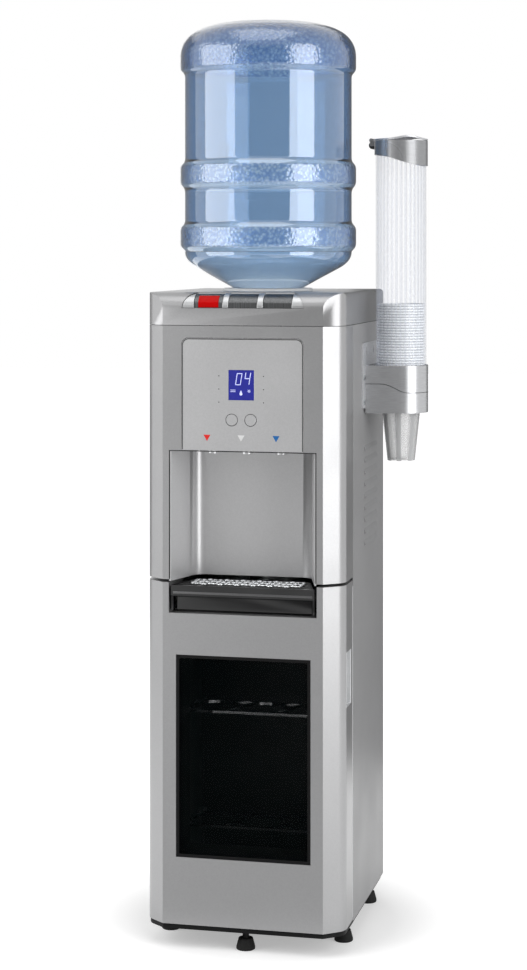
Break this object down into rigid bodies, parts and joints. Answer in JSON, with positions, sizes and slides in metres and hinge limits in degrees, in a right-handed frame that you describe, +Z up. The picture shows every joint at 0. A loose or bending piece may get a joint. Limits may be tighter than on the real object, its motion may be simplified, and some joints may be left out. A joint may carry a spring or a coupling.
{
  "type": "water cooler",
  "caption": "Floor-standing bottled-water cooler with push-key taps in a niche, drip tray, glass-doored bottle cabinet and side cup dispenser.",
  "frame": {"origin": "on the floor under the middle of the cabinet", "axes": "+Z up, front towards -Y, cup dispenser on the +X side"},
  "size_m": [0.4085, 0.3546, 1.43],
  "materials": {
    "silver_plastic": "silver-lacquered moulding",
    "panel_plastic": "satin silver-grey moulding",
    "side_paint": "silver-grey coated sheet",
    "zinc_sheet": "zinc-plated sheet",
    "black_paint": "black stoved paint",
    "black_plastic": "black moulding",
    "black_gloss": "glossy black moulding",
    "liner_plastic": "dark vacuum-formed sheet",
    "chrome": "bright plating",
    "brushed_steel": "brushed stainless sheet",
    "tank_steel": "plain stainless",
    "clear_plastic": "clear moulding",
    "blue_polycarbonate": "blue-tinted blow moulding",
    "cap_blue": "blue moulding",
    "smoked_glass": "smoked float glass",
    "display": "lit blue display window",
    "circuit_board": "green solder resist",
    "white_plastic": "white moulding",
    "silicone_tube": "milky silicone",
    "rubber": "black rubber",
    "red_plastic": "red moulding",
    "green_plastic": "green moulding"
  },
  "bodies": {
    "cabinet": {"top_cover": "silver_plastic", "upper_housing": "silver_plastic", "control_panel": "panel_plastic", "niche_liner": "panel_plastic", "key_bezel": "panel_plastic", "side_panel_left": "side_paint", "side_panel_right": "side_paint", "back_panel": "zinc_sheet", "deck_plate": "zinc_sheet", "evaporator_plate": "zinc_sheet", "screws": "zinc_sheet", "foot_nuts": "zinc_sheet", "door_hinges": "zinc_sheet", "base_plate": "black_paint", "compressor": "black_paint", "condenser": "black_paint", "switch_housings": "black_plastic", "power_inlet": "black_plastic", "tray_holder": "black_gloss", "cabinet_liner": "liner_plastic", "taps": "chrome", "bottle_racks": "chrome", "cup_holder": "brushed_steel", "tube_cap": "brushed_steel", "dispenser_bracket": "brushed_steel", "cold_tank": "tank_steel", "hot_tank": "tank_steel", "cup_tube": "clear_plastic", "lcd_lens": "display", "control_board": "circuit_board", "bottle_receiver": "white_plastic", "water_pipes": "silicone_tube"},
    "door": {"door_shell": "silver_plastic", "door_liner": "black_plastic", "door_gasket": "rubber", "door_glass": "smoked_glass", "window_trim": "black_plastic", "door_handle": "chrome"},
    "tray": {"drip_tray": "black_gloss"},
    "grate": {"drip_grate": "chrome"},
    "hot_key": {"key_hot": "brushed_steel"},
    "hot_key_lock": {"hot_lock": "red_plastic"},
    "room_key": {"key_room": "brushed_steel"},
    "cold_key": {"key_cold": "brushed_steel"},
    "left_button": {"button_left": "panel_plastic"},
    "right_button": {"button_right": "panel_plastic"},
    "water_bottle": {"bottle": "blue_polycarbonate", "bottle_cap": "cap_blue"},
    "lid": {"cap_lid": "brushed_steel"},
    "cup": {"pull_cup": "clear_plastic"},
    "stack": {"cup_stack": "clear_plastic"},
    "hot_rocker": {"rocker_hot": "red_plastic"},
    "cold_rocker": {"rocker_cold": "green_plastic"},
    "drain": {"drain_cap": "black_plastic"},
    "foot_front_left_screw": {"foot_front_left": "rubber"},
    "foot_front_right_screw": {"foot_front_right": "rubber"},
    "foot_rear_left_screw": {"foot_rear_left": "rubber"},
    "foot_rear_right_screw": {"foot_rear_right": "rubber"},
    "foot_middle_screw": {"foot_middle": "rubber"}
  },
  "joints": [
    {"name": "door_swing", "type": "hinge", "parent": "cabinet", "child": "door", "pos_m": [-0.149, -0.103, 0.298], "axis": [0, 0, -1], "range_deg": [0, 110]},
    {"name": "tray_slide", "type": "slide", "parent": "cabinet", "child": "tray", "axis": [0, -1, 0], "range_m": [0, 0.09]},
    {"name": "grate_lift", "type": "slide", "parent": "tray", "child": "grate", "axis": [0, 0, 1], "range_m": [0, 0.03]},
    {"name": "hot_key_press", "type": "slide", "parent": "cabinet", "child": "hot_key", "axis": [0, 0, -1], "range_m": [0, 0.005], "stiffness_N_per_m": 1500, "springref_m": -0.003},
    {"name": "hot_lock_slide", "type": "slide", "parent": "hot_key", "child": "hot_key_lock", "axis": [0, 1, 0], "range_m": [0, 0.003], "stiffness_N_per_m": 300, "springref_m": -0.002},
    {"name": "room_key_press", "type": "slide", "parent": "cabinet", "child": "room_key", "axis": [0, 0, -1], "range_m": [0, 0.005], "stiffness_N_per_m": 1500, "springref_m": -0.003},
    {"name": "cold_key_press", "type": "slide", "parent": "cabinet", "child": "cold_key", "axis": [0, 0, -1], "range_m": [0, 0.005], "stiffness_N_per_m": 1500, "springref_m": -0.003},
    {"name": "left_button_press", "type": "slide", "parent": "cabinet", "child": "left_button", "axis": [0, 1, 0], "range_m": [0, 0.0008], "stiffness_N_per_m": 2000, "springref_m": -0.0005},
    {"name": "right_button_press", "type": "slide", "parent": "cabinet", "child": "right_button", "axis": [0, 1, 0], "range_m": [0, 0.0008], "stiffness_N_per_m": 2000, "springref_m": -0.0005},
    {"name": "bottle_lift", "type": "slide", "parent": "cabinet", "child": "water_bottle", "axis": [0, 0, 1], "range_m": [0, 0.12]},
    {"name": "lid_swing", "type": "hinge", "parent": "cabinet", "child": "lid", "pos_m": [0.1611, 0.042, 1.241], "axis": [0, -1, 0], "range_deg": [0, 95]},
    {"name": "cup_pull", "type": "slide", "parent": "cabinet", "child": "cup", "axis": [0, 0, -1], "range_m": [0, 0.14]},
    {"name": "stack_drop", "type": "slide", "parent": "cabinet", "child": "stack", "axis": [0, 0, -1], "range_m": [0, 0.006]},
    {"name": "hot_rocker_tilt", "type": "hinge", "parent": "cabinet", "child": "hot_rocker", "pos_m": [0.034, 0.1572, 0.905], "axis": [-1, 0, 0], "range_deg": [0, 18]},
    {"name": "cold_rocker_tilt", "type": "hinge", "parent": "cabinet", "child": "cold_rocker", "pos_m": [-0.034, 0.1572, 0.905], "axis": [-1, 0, 0], "range_deg": [0, 18]},
    {"name": "drain_cap_turn", "type": "hinge", "parent": "cabinet", "child": "drain", "pos_m": [0, 0.168, 0.5306], "axis": [0, 1, 0], "continuous": true},
    {"name": "foot_front_left_turn", "type": "hinge", "parent": "cabinet", "child": "foot_front_left_screw", "pos_m": [-0.138, -0.08, 0.02], "axis": [0, 0, 1], "continuous": true},
    {"name": "foot_front_right_turn", "type": "hinge", "parent": "cabinet", "child": "foot_front_right_screw", "pos_m": [0.138, -0.08, 0.02], "axis": [0, 0, 1], "continuous": true},
    {"name": "foot_rear_left_turn", "type": "hinge", "parent": "cabinet", "child": "foot_rear_left_screw", "pos_m": [-0.138, 0.127, 0.02], "axis": [0, 0, 1], "continuous": true},
    {"name": "foot_rear_right_turn", "type": "hinge", "parent": "cabinet", "child": "foot_rear_right_screw", "pos_m": [0.138, 0.127, 0.02], "axis": [0, 0, 1], "continuous": true},
    {"name": "foot_middle_turn", "type": "hinge", "parent": "cabinet", "child": "foot_middle_screw", "pos_m": [0, -0.153, 0.02], "axis": [0, 0, 1], "continuous": true}
  ],
  "couplings": [
    {"joint": "stack_drop", "follows": "cup_pull", "ratio": 0.0428}
  ]
}
